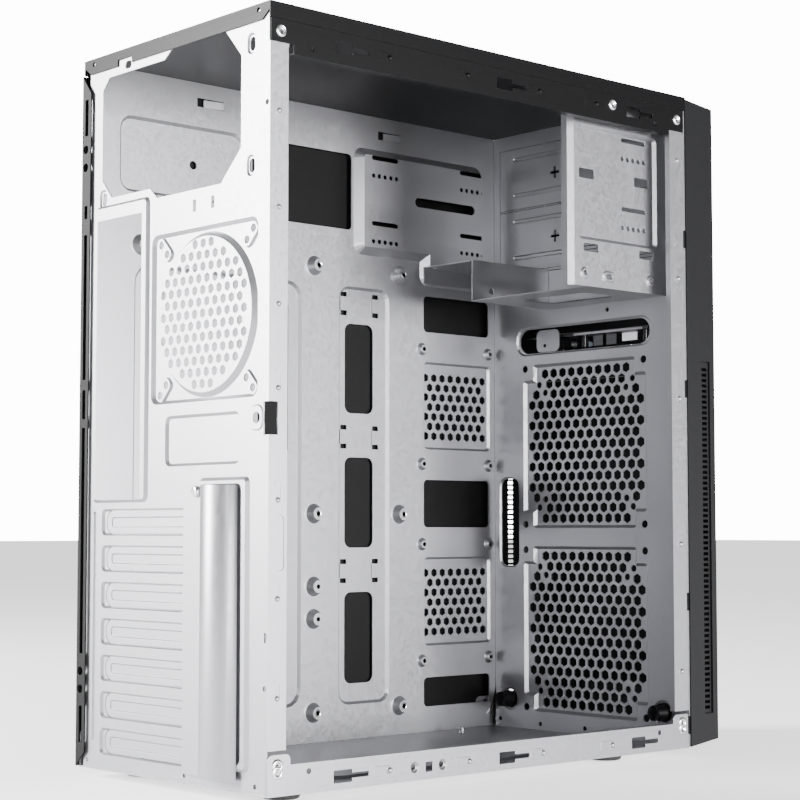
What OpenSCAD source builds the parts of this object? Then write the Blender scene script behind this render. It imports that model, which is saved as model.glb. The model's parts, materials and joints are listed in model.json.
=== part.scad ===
/* [Chassis] */
// Width of the steel chassis, over the top cover's skirts
chassis_w = 175; // [170:1:220]
// Height of the steel chassis, without its feet
chassis_h = 405.5; // [400:0.5:500]
// Depth from the rear panel to the front panel
chassis_d = 329; // [325:1:420]
// Thickness of the steel sheet
sheet_t = 0.8; // [0.6:0.1:1]
// How far the shield over the card screws bulges out of the rear
shield_bulge = 9; // [7:0.5:14]

/* [Rear panel] */
// Across the board's connector opening
io_w = 44.5; // [44:0.5:46]
// Height of the board's connector opening
io_h = 158.8; // [158:0.2:160]
// Hole pitch of the larger rear fan size
fan_pitch = 82.5; // [71.5:1:85]
// Distance from one expansion slot to the next
slot_pitch = 20.32; // [20:0.01:20.5]
// Height of one slot's breakaway blank
blank_h = 13.5; // [11:0.5:14.5]
// Width of a hexagonal hole in the rear grille, across its flats
hex_flats = 4.7; // [3.5:0.1:5.4]

/* [Tray] */
// Radius of a standoff's pressed foot
standoff_r = 6.7; // [5.5:0.1:7.5]
// How far a standoff rises from the tray
standoff_rise = 5.6; // [4.5:0.1:6.35]
// Radius of the thread in a standoff
thread_r = 1.5; // [1.3:0.1:1.75]
// Width of a cable window
window_w = 24; // [18:1:26]
// Height of a cable window
window_h = 58; // [45:1:60]

/* [Front] */
// Hole pitch of a front fan
front_fan_pitch = 105; // [104:0.5:106]
// Depth of the bezel's side wall
bezel_d = 26; // [24:1:40]
// How far the bezel's face bows forward of its sides
bezel_bow = 8; // [4:0.5:12]
// Wall of the moulded bezel
bezel_wall = 2.4; // [2:0.1:3]
// Side of the square power button
power_size = 15; // [11:0.5:17]
// Travel of both front buttons
button_travel = 1.6; // [1:0.1:2]

/* [Drive bays] */
// Height of one large drive bay
bay_pitch = 43.2; // [42.5:0.1:44]
// Width between the sides of the large bays
bay_w = 148.5; // [147:0.5:155]
// Height of the small drive bay
small_bay_h = 27; // [26.5:0.5:30]
// Width of the small drive bay
small_bay_w = 101.6; // [101:0.2:106]

/* [Side panel] */
// Distance that the right panel slides back to come free
panel_travel = 11; // [9:0.5:11]
// Height of the wide part of a rail's keyhole
keyhole_h = 6.5; // [5.5:0.1:7]

/* [Feet] */
// Height of a rubber foot
foot_h = 5; // [4:0.5:12]
// Radius of a rubber foot
foot_r = 10.5; // [8:0.5:14]

/* [Hidden] */
$fn = 48;

// Colours
steel = "lightgray";
dark_paint = "dimgray";
plastic = [0.15, 0.15, 0.16];

// Small amounts
e = 0.01;
gap = 0.1;
edge = 1;
rail_h = 15.5;
hems = [4.5, 1.6];
press_k = 1;

// The three reference planes: the left face, the rear face and the floor of the chassis
left_x = -chassis_w / 2;
rear_y = (chassis_d + bezel_d + bezel_bow + 0.9 - shield_bulge - 2) / 2;
front_y = rear_y - chassis_d;
base_z = foot_h;
tray_u = chassis_w - 5;
top_h = chassis_h - sheet_t;
lip_h = chassis_h - 9;
rail_top = chassis_h - 8.5;
rail_bottom = chassis_h - 25.5;

// Rear panel, measured from the left face (u) and the chassis floor (h)
panel_u0 = edge;
panel_u1 = tray_u - 0.5;
psu_u = 17;
psu_h = chassis_h - 83.5;
psu_holes = [[0, 0], [0, 64], [114, 74], [138, 0]];
io_u = tray_u - 56.5;
io_z = 150.5;
raise_d = 1.8;
fan_u = 56.5;
fan_z = 248;
fan_field_r = 43;
hex_pitch = 7.22;
slots = 7;
slot_top = 146.3;
slot_u1 = tray_u - 16;
slot_u0 = slot_u1 - 92;
slot_recess_h = 16.5;
shield_u1 = 70.5;
shield_flat = 17;
shield_bow_w = 29;
shield_gap = 2;
shield_z0 = 6;
shield_z1 = 157;
strip_w = 12;
strip_z0 = 23;
lance_z = [349, 299, 249, 206, 149, 99, 49];

// Tray, measured from the rear face (v) and the chassis floor (h)
row_z = 301.5;
col_v = 13.4;
board_cols = [0, 154.94, 227.33];
board_rows = [0, -157.48, -203.2, -223.52, -281.94];
window_v = 195;
window_z = [36, 122.4, 208.8];
tie_z = [99.5, 185.5, 271.5];
ssd_v = 261;
ssd_w = 61.72;
ssd_l = 76.6;
ssd_z = [47.7, 177.5];
vent_z = [56.5, 186.5];

// Front panel, measured like the rear one
fan_centre_u = chassis_w / 2 + 0.5;
front_fan_z = [68, 190];
front_hex_pitch = 8;
front_hex_flats = 6;
ports_z = 261;
peg_z = 20;
peg_r = 6.3;
peg_u = [22, tray_u - 13.5];

// Drive bays, measured from the top down
cage_u = tray_u - 5 - bay_w - sheet_t;
bays_top = chassis_h - 10;
bays_z0 = bays_top - 2 * bay_pitch;
shelf_z0 = bays_z0 - small_bay_h;
cage_v = 241;
shelf_v = 257.5;

// Keyholes of the rails: how far from the rear face each wide part starts
key_v = [43.5, 164, chassis_d - 53.5];
key_wide = 12.5;
key_slot = 11.5;
key_slot_h = 2.6;

// ---------- placing ----------

// Lays a sheet drawn in (u, h) on the rear face; its own z runs forward, into the case
module on_rear(v = 0) {
  translate([left_x, rear_y - v, base_z]) rotate([90, 0, 0]) children();
}

// Lays a sheet drawn in (v, h) on a plane across the case; its own z runs to the left
module on_side(u) {
  multmatrix([[0, 0, -1, left_x + u], [-1, 0, 0, rear_y], [0, 1, 0, base_z], [0, 0, 0, 1]]) children();
}

// A block between two corners given in (u, v, h)
module block(a, b) {
  translate([left_x + a[0], rear_y - b[1], base_z + a[2]])
    cube([b[0] - a[0], b[1] - a[1], b[2] - a[2]]);
}

module at(u, v, h) {
  translate([left_x + u, rear_y - v, base_z + h]) children();
}

// ---------- pressed steel ----------

function rounded(w, h, r, n = 4) = [
  for (q = [0:3])
    for (i = [0:n])
      let (a = 90 * q + 90 * i / n, sx = q == 0 || q == 3 ? 1 : -1, sy = q < 2 ? 1 : -1)
        [sx * (w / 2 - r) + r * cos(a), sy * (h / 2 - r) + r * sin(a)]
];

// A block whose rounded outline shrinks from w by h at z0 to a smaller one at z1
module frustum(w, h, r, z0, i0, z1, i1) {
  low = rounded(w - 2 * i0, h - 2 * i0, max(r - i0, 0.3));
  high = rounded(w - 2 * i1, h - 2 * i1, max(r - i1, 0.3));
  n = len(low);
  polyhedron(
    points = concat([for (p = low) [p[0], p[1], z0]], [for (p = high) [p[0], p[1], z1]]),
    faces = concat(
      [[for (i = [0:n - 1]) i]],
      [[for (i = [0:n - 1]) 2 * n - 1 - i]],
      [for (i = [0:n - 1]) [i, n + i, n + (i + 1) % n, (i + 1) % n]]
    )
  );
}

// The outside of a pressing d deep; a negative d presses the other way
module press_skin(c, w, h, r, d, z = 0, k = press_k) {
  translate([c[0], c[1], z])
    if (d > 0) frustum(w, h, r, 0, 0, d + sheet_t, k * (d + sheet_t));
    else translate([0, 0, sheet_t]) mirror([0, 0, 1]) frustum(w, h, r, 0, 0, sheet_t - d, k * (sheet_t - d));
}

// The hollow of the same pressing
module press_hollow(c, w, h, r, d, z = 0, k = press_k) {
  translate([c[0], c[1], z])
    if (d > 0) frustum(w, h, r, -e, k * (sheet_t - e), d, k * (d + sheet_t));
    else translate([0, 0, sheet_t]) mirror([0, 0, 1]) frustum(w, h, r, -e, k * (sheet_t - e), -d, k * (sheet_t - d));
}

// A round pressing, as a true cone
module cone_skin(c, r, d, z = 0, k = press_k) {
  translate([c[0], c[1], z])
    if (d > 0) cylinder(h = d + sheet_t, r1 = r, r2 = r - k * (d + sheet_t));
    else translate([0, 0, sheet_t]) mirror([0, 0, 1]) cylinder(h = sheet_t - d, r1 = r, r2 = r - k * (sheet_t - d));
}

module cone_hollow(c, r, d, z = 0, k = press_k) {
  translate([c[0], c[1], z])
    if (d > 0) translate([0, 0, -e]) cylinder(h = d + e, r1 = r - k * (sheet_t - e), r2 = r - k * (d + sheet_t));
    else translate([0, 0, sheet_t]) mirror([0, 0, 1]) translate([0, 0, -e])
      cylinder(h = e - d, r1 = r - k * (sheet_t - e), r2 = r - k * (sheet_t - d));
}

// ---------- cutters, all deep enough for any pressing ----------

module bore(c, r, depth = 24) {
  translate([c[0], c[1], -depth / 2]) cylinder(h = depth, r = r);
}

module oblong2d(c, w, h) {
  r = min(w, h) / 2;
  translate(c) {
    square(w > h ? [w - h, h] : [w, h - w], center = true);
    for (s = [-1, 1]) translate([s * (w / 2 - r), s * (h / 2 - r)]) circle(r);
  }
}

module oblong(c, w, h, depth = 24) {
  translate([0, 0, -depth / 2]) linear_extrude(depth) oblong2d(c, w, h);
}

module window(u0, h0, u1, h1, r = 0.5, depth = 24) {
  translate([0, 0, -depth / 2]) linear_extrude(depth)
    polygon([for (p = rounded(u1 - u0, h1 - h0, r, 5)) p + [(u0 + u1) / 2, (h0 + h1) / 2]]);
}

// Hexagonal holes, points up, in rows; keep(x, y) is inside a circle or a box
module hexes(c, cols, rows, px, py, flats, field, first = 0, depth = 24) {
  for (j = [0:rows - 1])
    for (i = [0:cols - 1])
      let (
        odd = (j + first) % 2,
        x = (i - (cols - 1) / 2 + (odd ? 0.5 : 0)) * px,
        y = (j - (rows - 1) / 2) * py
      )
        if (norm([x, y]) < field && (!odd || i < cols - 1))
          translate([c[0] + x, c[1] + y, -depth / 2]) rotate(30) cylinder(h = depth, r = flats / sqrt(3), $fn = 6);
}

// ---------- rear panel ----------

module slot_row(k) {
  translate([0, slot_top - k * slot_pitch - slot_recess_h / 2]) children();
}

module psu_outline() {
  translate([psu_u, psu_h])
    polygon([
      [8.5, 10.5], [26, -6], [84.5, -6], [91.5, 0], [129.5, 0], [139.5, 11],
      [139.5, 63], [133, 70], [78.5, 70], [71.5, 75], [22.5, 75], [8.5, 59.5]
    ]);
}

module rear_panel() {
  io_c = [tray_u - 34.75, (io_z + io_h + 157.7) / 2];
  frame_c = [38, (shield_z0 + shield_z1) / 2 + 4.5];
  color(steel) {
    on_rear() difference() {
      union() {
        difference() {
          union() {
            linear_extrude(sheet_t) difference() {
              union() {
                translate([panel_u0 + 0.9, sheet_t + gap]) square([panel_u1 - panel_u0 - 0.9, top_h - sheet_t - 2 * gap]);
                translate([panel_u0, strip_z0]) square([1, rail_bottom + 4.5 - strip_z0]);
              }
              psu_outline();
            }
            press_skin([58.1, fan_z + 0.5], 97, 95, 6, 2);
            press_skin([58.5, 181.5], 68.5, 29, 5, 1.6);
            press_skin(io_c, 56.5, io_h + 12, 5, -raise_d);
            press_skin([psu_u, psu_h], 8.5, 13, 4, 1);
            press_skin([psu_u, psu_h + 64], 8.5, 13, 4, 1);
            press_skin([psu_u + 138, psu_h], 9, 13, 4, 1);
            press_skin(frame_c, 45, 152, 4, -raise_d);
            press_skin([11, 191], 13, 15, 5, -0.7);
            press_skin([tray_u - 9.5, 80], 4.6, 130, 2.2, -1);
            for (k = [0:slots - 1])
              slot_row(k) press_skin([(slot_u0 + slot_u1) / 2, 0], slot_u1 - slot_u0, slot_recess_h, 4, 1.4);
          }
          press_hollow([58.1, fan_z + 0.5], 97, 95, 6, 2);
          press_hollow([58.5, 181.5], 68.5, 29, 5, 1.6);
          press_hollow(io_c, 56.5, io_h + 12, 5, -raise_d);
          press_hollow([psu_u, psu_h], 8.5, 13, 4, 1);
          press_hollow([psu_u, psu_h + 64], 8.5, 13, 4, 1);
          press_hollow([psu_u + 138, psu_h], 9, 13, 4, 1);
          press_hollow(frame_c, 45, 152, 4, -raise_d);
          press_hollow([11, 191], 13, 15, 5, -0.7);
          press_hollow([tray_u - 9.5, 80], 4.6, 130, 2.2, -1);
          for (k = [0:slots - 1])
            slot_row(k) press_hollow([(slot_u0 + slot_u1) / 2, 0], slot_u1 - slot_u0, slot_recess_h, 4, 1.4);
        }
        cone_skin([fan_u, fan_z], fan_field_r + 2, -2.6, 2);
        press_skin(frame_c + [1, 0], 37, 145, 4, raise_d, -raise_d);
        for (s = [[-1, -1], [-1, 1], [1, -1], [1, 1]]) fan_corner(s) press_skin([0, 0], 9, 16.6, 4, -1.4, 2, 0.5);
      }
      cone_hollow([fan_u, fan_z], fan_field_r + 2, -2.6, 2);
      press_hollow(frame_c + [1, 0], 37, 145, 4, raise_d, -raise_d);
      for (s = [[-1, -1], [-1, 1], [1, -1], [1, 1]]) fan_corner(s) press_hollow([0, 0], 9, 16.6, 4, -1.4, 2, 0.5);
      hexes([fan_u + 1, fan_z + 0.5], 11, 13, hex_pitch, hex_pitch * sqrt(3) / 2, hex_flats, fan_field_r - 3.4);
      for (p = [fan_pitch, fan_pitch - 11])
        for (i = [-1, 1])
          for (j = [-1, 1]) bore([fan_u + i * p / 2, fan_z + j * p / 2], 2.2);
      window(io_u, io_z, io_u + io_w, io_z + io_h, 0.6);
      for (k = [0:slots - 1])
        slot_row(k) translate([slot_u1 - 4, 0]) translate([-45, 0]) window(-45, -blank_h / 2, 45, blank_h / 2, 6);
      for (p = psu_holes) oblong([psu_u, psu_h] + p, p[0] == 114 ? 6.5 : 4.4, p[0] == 114 ? 4.5 : 7.5);
      for (h = [353, 54]) bore([3.4, h], 1.5);
      for (u = [50, 66.5]) window(u - 1.5, 304, u + 1.5, 310.5, 0.3);
      bore([10.5, 191], 3);
      window(panel_u0 - 1, 182, 5.5, 199, 0.5);
      window(1.6, 77, 4, 82, 0.4);
      for (u = [11, 72, tray_u - 4.5]) bore([u, 4.6], 1.3);
      window(28, shield_z0 + 14, 50, shield_z1 - 12, 2);
      bore([shield_u1 - 12, shield_z1 - 3], 1.8);
    }
    // folded strip along the open side, with its spring lances and the lock notch
    on_side(edge + sheet_t) difference() {
      union() {
        translate([0, strip_z0]) linear_extrude(sheet_t) square([strip_w, rail_bottom + 4.5 - strip_z0]);
        translate([strip_w - sheet_t, strip_z0, -3]) cube([sheet_t, rail_bottom - 1 - strip_z0, 3 + e]);
        for (h = lance_z) lance([6, h]);
      }
      window(-1, 182, 6, 199, 0.5);
      translate([7, 127.2, 0]) press_hollow([0, 0], 7, 29, 3, -0.45, 0, 0.3);
    }
    // tabs behind the rails, where the corner rivets hold
    difference() {
      for (h = [[2, 20], [rail_bottom + 3.2, top_h - 1.2]])
        block([edge + sheet_t + gap, 0, h[0]], [edge + 2 * sheet_t + gap, 13, h[1]]);
      rivet_holes();
    }
  }
}

// The holes that the left frame's rivets pass through
module rivet_holes() {
  on_side(edge + sheet_t) {
    for (p = rivet_top) bore([p[0], p[1] + chassis_h - 405.5], rivet_r);
    for (p = rivet_bottom) bore(p, rivet_r);
  }
}

// The pair of holes at each corner of the rear fan lies in a slanted bead
module fan_corner(s) {
  p = (fan_pitch / 2 + (fan_pitch - 11) / 2) / 2;
  translate([fan_u + s[0] * p, fan_z + s[1] * p]) rotate(s[0] * s[1] > 0 ? -45 : 45) children();
}

// A spring lance: a shallow tongue with a round dimple at its end
module lance(c) {
  translate([c[0], c[1], sheet_t - 0.2]) {
    translate([0, 0, 0]) scale([1, 1, 1]) sphere(1.5);
    translate([-2, 7.5, 0]) cube([4.4, 2.5, 0.35]);
    translate([1.7, 0, 0]) cube([0.7, 8, 0.35]);
  }
}

module slot_blank(k) {
  color(steel) on_rear() slot_row(k)
    translate([slot_u1 - 49, 0, 1.4]) difference() {
      union() {
        linear_extrude(sheet_t) polygon(rounded(90 - 0.8, blank_h - 0.8, 5.6, 5));
        // the nicks that hold the blank until it is broken out
        for (u = [17, -33])
          for (s = [-1, 1]) translate([u, s * (blank_h / 2 - 0.3), sheet_t / 2]) cube([1.6, 0.6, sheet_t], center = true);
        press_skin([2, 0], 78, 7.5, 3, 0.6);
      }
      press_hollow([2, 0], 78, 7.5, 3, 0.6);
    }
}

// The shield: a flat strip clear of the panel, and a curve that bulges out beside it
shield_r = (pow(shield_bow_w / 2, 2) + pow(shield_bulge, 2)) / (2 * shield_bulge);
shield_screw_at = [shield_u1 - 12, shield_z1 - 3];

module shield_profile(r) {
  intersection() {
    translate([0, shield_bulge - shield_r]) circle(r, $fn = 120);
    translate([-shield_bow_w, -shield_gap + raise_d + 0.05]) square([2 * shield_bow_w, 2 * shield_bulge]);
  }
}

module slot_shield() {
  w = shield_bow_w / 2;
  h1 = shield_z1 - shield_z0;
  color(steel) difference() {
    translate([left_x + shield_u1 - shield_flat - w, rear_y + shield_gap, base_z + shield_z0]) {
      linear_extrude(h1) {
        difference() {
          shield_profile(shield_r);
          shield_profile(shield_r - sheet_t);
        }
        translate([w - 0.6, 0]) square([shield_flat + 0.6, sheet_t]);
      }
      // a cap closes each end of the curve
      for (h = [0, h1 - sheet_t]) translate([0, 0, h]) linear_extrude(sheet_t) shield_profile(shield_r);
      // a foot under the screw rests on the raised frame
      translate([w + 5, 0, shield_screw_at[1] - shield_z0]) rotate([90, 0, 0])
        cylinder(h = shield_gap - raise_d - 0.02, r = 3);
    }
    at(shield_screw_at[0], 0, shield_screw_at[1]) rotate([90, 0, 0]) cylinder(h = 10, r = 1.7, center = true);
  }
}

module shield_screw() {
  color("silver") at(shield_screw_at[0], -shield_gap - sheet_t, shield_screw_at[1]) rotate([-90, 0, 0]) {
    difference() {
      cylinder(h = 2.2, r1 = 3.1, r2 = 2.5);
      translate([0, 0, 1.6]) cube([4, 0.7, 2], center = true);
      translate([0, 0, 1.6]) cube([0.7, 4, 2], center = true);
    }
    translate([0, 0, -6]) cylinder(h = 6 + e, r = 1.5);
  }
}

// ---------- motherboard tray ----------

function standoffs() = [
  for (r = [0:4])
    for (c = [0:2])
      if (!(c == 2 && (r == 2 || r == 3)) && !(r == 3 && c == 0))
        [col_v + board_cols[c] + (r == 0 && c == 0 ? 22.86 : 0), row_z + board_rows[r]]
];

function ssd_points() = [for (z = ssd_z) for (i = [0, 1]) for (j = [0, 1]) [ssd_v + i * ssd_w, z + j * ssd_l]];

// A cable tie's anchor: a strap bridging a hole
module tie_hole(c) {
  window(c[0] - 2.6, c[1] - 7.6, c[0] + 2.6, c[1] + 7.6, 0.5);
}

module tie_strap(c) {
  translate([c[0] - 3.4, c[1] - 4.5, sheet_t - 1.8 - e]) cube([6.8, 9, sheet_t]);
}

module motherboard_tray() {
  h1 = top_h - gap;
  v1 = chassis_d - gap;
  color(steel) on_side(tray_u + sheet_t) difference() {
    union() {
      difference() {
        union() {
          linear_extrude(sheet_t) difference() {
            translate([sheet_t + gap, sheet_t + gap]) square([v1 - sheet_t - gap, h1 - sheet_t - gap]);
            difference() {
              translate([v1 - 30, -1]) square([32, 31 + sheet_t]);
              translate([v1 - 30, 30 + sheet_t]) circle(30);
            }
          }
          press_skin([95, 157], 128, 268, 12, -1.8);
          press_skin([210.3, 156.8], 44.6, 269.5, 9, -1.8);
          press_skin([66, psu_h + 33], 92, 47, 9, -1.8);
          for (z = vent_z) press_skin([293.5, z + 30], 63, 60, 4, -1.5);
          for (p = standoffs()) cone_skin(p, standoff_r, standoff_rise - sheet_t, 0, 0.5);
          for (p = ssd_points()) cone_skin(p, 4.8, 2.4, 0, 0.7);
          press_skin([259, bays_z0 + 38.4], 118, 72, 8, 5);
          press_skin([288, bays_z0 + 30.4], 60, 88, 8, 5);
        }
        press_hollow([95, 157], 128, 268, 12, -1.8);
        press_hollow([210.3, 156.8], 44.6, 269.5, 9, -1.8);
        press_hollow([66, psu_h + 33], 92, 47, 9, -1.8);
        for (z = vent_z) press_hollow([293.5, z + 30], 63, 60, 4, -1.5);
        for (p = standoffs()) cone_hollow(p, standoff_r, standoff_rise - sheet_t, 0, 0.5);
        for (p = ssd_points()) cone_hollow(p, 4.8, 2.4, 0, 0.7);
        press_hollow([259, bays_z0 + 38.4], 118, 72, 8, 5);
        press_hollow([288, bays_z0 + 30.4], 60, 88, 8, 5);
      }
    }
    for (p = standoffs()) bore(p, thread_r);
    for (p = ssd_points()) bore(p, thread_r);
    for (z = window_z) window(window_v, z, window_v + window_w, z + window_h, 5);
    window(262.5, 17.5, 323, 36.5, 3);
    window(262.5, 135.5, 323, 167, 3);
    window(262.5, 265.7, 323, 289.8, 3);
    window(118, psu_h + 5.5, 199, psu_h + 55, 3);
    window(124.5, 180, 148.5, 279, 5);
    for (z = vent_z) hexes([292, z + 29.3], 8, 7, 7.55, 6.5, 5, 60);
    bore([74.5, psu_h + 32], 2.6);
    for (v = [76, 222]) window(v, psu_h + 68, v + 20, psu_h + 73.5, 0.4);
    for (k = [0, 1])
      for (v = [212.3, 291.6]) {
        oblong([v + 11.5, bays_z0 + 23.9 + k * bay_pitch], 23, 3);
        for (i = [0:4]) bore([v + 1.5 + i * 5, bays_z0 + 12.1 + k * bay_pitch], 1.5);
      }
    oblong([278, bays_z0 + 42.1], 55, 6.3);
    for (z = tie_z) for (v = [194, 221]) tie_hole([v, z + 8]);
  }
  // straps over the tie holes, and the tongues bent back out of the two top windows
  color(steel) on_side(tray_u + sheet_t) {
    for (z = tie_z) for (v = [194, 221]) tie_strap([v, z + 8]);
    for (v = [76, 222]) translate([0, psu_h + 73, 0]) rotate([90, 0, 0]) linear_extrude(4.6)
      polygon([[v + 20.2, 0], [v + 20.2, sheet_t], [v + 6, sheet_t - 1.7], [v + 6, -1.7]]);
  }
}

// ---------- rails, top and bottom ----------

// The cutters of one rail's face, drawn in (v, h) about its middle height
module rail_cuts(mid) {
  for (v = key_v) {
    window(v, mid - keyhole_h / 2, v + key_wide, mid + keyhole_h / 2, 0.6);
    window(v + key_wide - 1, mid - key_slot_h / 2, v + key_wide + key_slot, mid + key_slot_h / 2, 0.6);
  }
}

module rail_lances(mid, last) {
  for (v = [82, 140.5, 199, last]) translate([v, mid, sheet_t - 0.2]) {
    sphere(1.7);
    translate([-10, -2.5, 0]) cube([5.5, 5, 0.35]);
    translate([-10, 2.2, 0]) cube([10.5, 0.5, 0.35]);
  }
}

rivet_top = [[7, 391], [262.5, 391], [chassis_d - 6.5, 390.5]];
rivet_bottom = [[6.5, 14.5], [chassis_d - 6.7, 15]];
rivet_r = 1.6;

module top_cover() {
  mid = rail_bottom + 9;
  v1 = chassis_d + sheet_t;
  color(dark_paint) {
    block([0, -0.9, top_h], [chassis_w, v1, chassis_h]);
    for (m = [0, 1]) mirror([m, 0, 0]) {
      block([0, -0.9, rail_top], [sheet_t, v1, top_h + e]);
      block([0, -gap, rail_top], [edge + sheet_t, chassis_d - gap, rail_top + sheet_t]);
      on_side(edge + sheet_t) difference() {
        union() {
          linear_extrude(sheet_t) difference() {
            translate([0.5, rail_bottom]) square([chassis_d - 1, rail_top - rail_bottom + sheet_t / 2]);
            translate([-1, rail_bottom - 1]) square([strip_w + 4.6, 6]);
            translate([chassis_d - 15, rail_bottom - 1]) square([16, 4]);
          }
          translate([strip_w + 3.6, rail_bottom, -hems[m]]) cube([chassis_d - strip_w - 18.6, sheet_t, hems[m] + e]);
          if (m == 0) rail_lances(mid, 248);
        }
        rail_cuts(mid);
        for (p = rivet_top) bore([p[0], p[1] + chassis_h - 405.5], rivet_r);
        for (v = [27.5, chassis_d - 27]) bore([v, mid - 4], 1.5);
      }
    }
    // the lip folded down over the rear panel, notched round a power supply screw
    translate([0, 2 * sheet_t + gap, 0]) on_rear(0) translate([0, 0, sheet_t]) linear_extrude(sheet_t) difference() {
      polygon([[0, chassis_h], [0, lip_h + 5], [7, lip_h], [chassis_w - 7, lip_h], [chassis_w, lip_h + 5], [chassis_w, chassis_h]]);
      translate([psu_u + 109.5, lip_h - 1]) square([14, 4.5]);
      for (u = [10, chassis_w - 10]) translate([u, chassis_h - 3.5]) circle(1.3);
    }
  }
}

module bottom_panel() {
  mid = 7;
  color(steel) {
    difference() {
      union() {
        block([edge, gap, 0], [chassis_w - edge, chassis_d - gap, sheet_t]);
        at(78, 165, 0) press_skin([0, 0], 104, 205, 12, 1.6);
      }
      at(78, 165, 0) press_hollow([0, 0], 104, 205, 12, 1.6);
      for (p = foot_places()) at(p[0], p[1], 0) translate([0, 0, -2]) cylinder(h = 6, r = 2.1);
    }
    for (m = [0, 1]) mirror([m, 0, 0]) on_side(edge + sheet_t) difference() {
      union() {
        linear_extrude(sheet_t) translate([gap, 0]) square([chassis_d - 2 * gap, rail_h]);
        for (v = [gap, chassis_d - 15]) linear_extrude(sheet_t) translate([v, 0])
          polygon([for (p = rounded(15 - gap, 21, 3, 4)) p + [7.5 - gap / 2, 10.5]]);
        translate([strip_w + 3.6, rail_h - sheet_t, -hems[m]]) cube([chassis_d - 33, sheet_t, hems[m] + e]);
        if (m == 0) rail_lances(mid, 258);
        for (v = [100, 120.5]) cone_skin([v, mid], 3.8, -1.2);
      }
      for (v = [100, 120.5]) {
        cone_hollow([v, mid], 3.8, -1.2);
        bore([v, mid], 1.6);
      }
      rail_cuts(mid - 0.3);
      window(108, 4, 113, 9.2, 0.4);
      window(chassis_d - 1.2, clip_z[0] - 5.6, chassis_d + 1, clip_z[0] + 5.6, 0.2);
      for (p = rivet_bottom) bore(p, rivet_r);
      for (v = [27, chassis_d - 28]) bore([v, 11.2], 1.5);
    }
  }
}

// ---------- front panel ----------

module front_fan_field(z, skin) {
  c = [fan_centre_u, z];
  if (skin) {
    press_skin(c, 110.5, 91, 3, 2);
    press_skin(c, 92.5, 111.5, 3, 2);
  } else {
    press_hollow(c, 110.5, 91, 3, 2);
    press_hollow(c, 92.5, 111.5, 3, 2);
  }
}

// Rows of hexagons that step in towards the corners, leaving the round fan holes clear
module front_hexes(z) {
  py = front_hex_pitch * sqrt(3) / 2;
  for (j = [-7:7])
    let (
      odd = abs(j) % 2 == 0,
      n = abs(j) == 7 ? 10 : abs(j) == 6 ? 9 : abs(j) == 5 ? 12 : abs(j) % 2 == 0 ? 13 : 12
    )
      for (i = [0:n - 1])
        let (x = (i - (n - 1) / 2) * front_hex_pitch)
          if (!(abs(j) == 5 && (i == 1 || i == n - 2)))
            translate([fan_centre_u + x, z + j * py, -8])
              rotate(30) cylinder(h = 20, r = front_hex_flats / sqrt(3), $fn = 6);
}

module bay_rib(u0, u1, z, skin) {
  c = [(u0 + u1) / 2, z];
  if (skin) press_skin(c, u1 - u0, 4.4, 2, 0.8, 0, 0.8);
  else press_hollow(c, u1 - u0, 4.4, 2, 0.8, 0, 0.8);
}

bay_plate_u0 = cage_u + 4;
bay_plate_u1 = tray_u - 6;
small_plate_u1 = cage_u + small_bay_w + 1;

module front_panel() {
  color(steel) {
    on_rear(chassis_d) difference() {
      union() {
        linear_extrude(sheet_t) difference() {
          translate([edge, sheet_t + gap]) square([tray_u - gap - edge, top_h - sheet_t - 2 * gap]);
          for (k = [0, 1]) translate([bay_plate_u0, bays_z0 + k * bay_pitch + 0.4])
            square([bay_plate_u1 - bay_plate_u0, bay_pitch - 0.8]);
          translate([bay_plate_u0, shelf_z0 + 1.2]) square([small_plate_u1 - bay_plate_u0, small_bay_h - 2.4]);
        }
        for (z = front_fan_z) front_fan_field(z, true);
        press_skin([88.5, ports_z], 122, 21, 9, 1.2);
        for (u = peg_u) cone_skin([u, peg_z], peg_r + 2.2, 1);
        press_skin([156, 139], 20.5, 63, 7, 1);
      }
      for (z = front_fan_z) {
        front_fan_field(z, false);
        front_hexes(z);
        for (p = [front_fan_pitch]) for (i = [-1, 1]) for (j = [-1, 1])
          bore([fan_centre_u + i * p / 2, z + j * p / 2], 2.4);
        for (p = [fan_pitch, fan_pitch - 11]) for (i = [-1, 1]) for (j = [-1, 1])
          bore([fan_centre_u + i * p / 2, z + j * p / 2], 2.2);
      }
      press_hollow([88.5, ports_z], 122, 21, 9, 1.2);
      oblong([88.5, ports_z], 115, 16.5);
      for (u = peg_u) {
        cone_hollow([u, peg_z], peg_r + 2.2, 1);
        bore([u, peg_z], peg_r);
      }
      press_hollow([156, 139], 20.5, 63, 7, 1);
      window(147.8, 109.5, 164.2, 168.5, 5);
      for (p = [[66, 276.8], [88, 5], [128, 5], [tray_u - 4.5, 6]]) bore(p, 1.5);
      for (z = clip_z) window(edge - 1, z - 5.5, edge + 3.2, z + 5.5, 0.3);
    }
    // folded strip along the open side
    on_side(edge + sheet_t) {
      translate([chassis_d - 13.5, strip_z0]) linear_extrude(sheet_t) difference() {
        square([13.5 + e, rail_bottom + 2.9 - strip_z0]);
        for (z = clip_z) translate([12.3, z - 5.5 - strip_z0]) square([2, 11]);
      }
      translate([chassis_d - 13.5, strip_z0, -3]) cube([sheet_t, rail_bottom - 1 - strip_z0, 3 + e]);
      for (h = [364.5, 290, 215, 125, 47]) translate([chassis_d - 6.5, h, sheet_t - 0.2]) sphere(1.7);
    }
    difference() {
      union() {
        block([edge + sheet_t + gap, chassis_d - 13, 2], [edge + 2 * sheet_t + gap, chassis_d + e, 7]);
        block([edge + sheet_t + gap, chassis_d - 13, 2], [edge + 2 * sheet_t + gap, chassis_d - 2, 20]);
        block([edge + sheet_t + gap, chassis_d - 13, rail_bottom + 3.2], [edge + 2 * sheet_t + gap, chassis_d + e, top_h - 1.2]);
      }
      rivet_holes();
    }
  }
}

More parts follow.
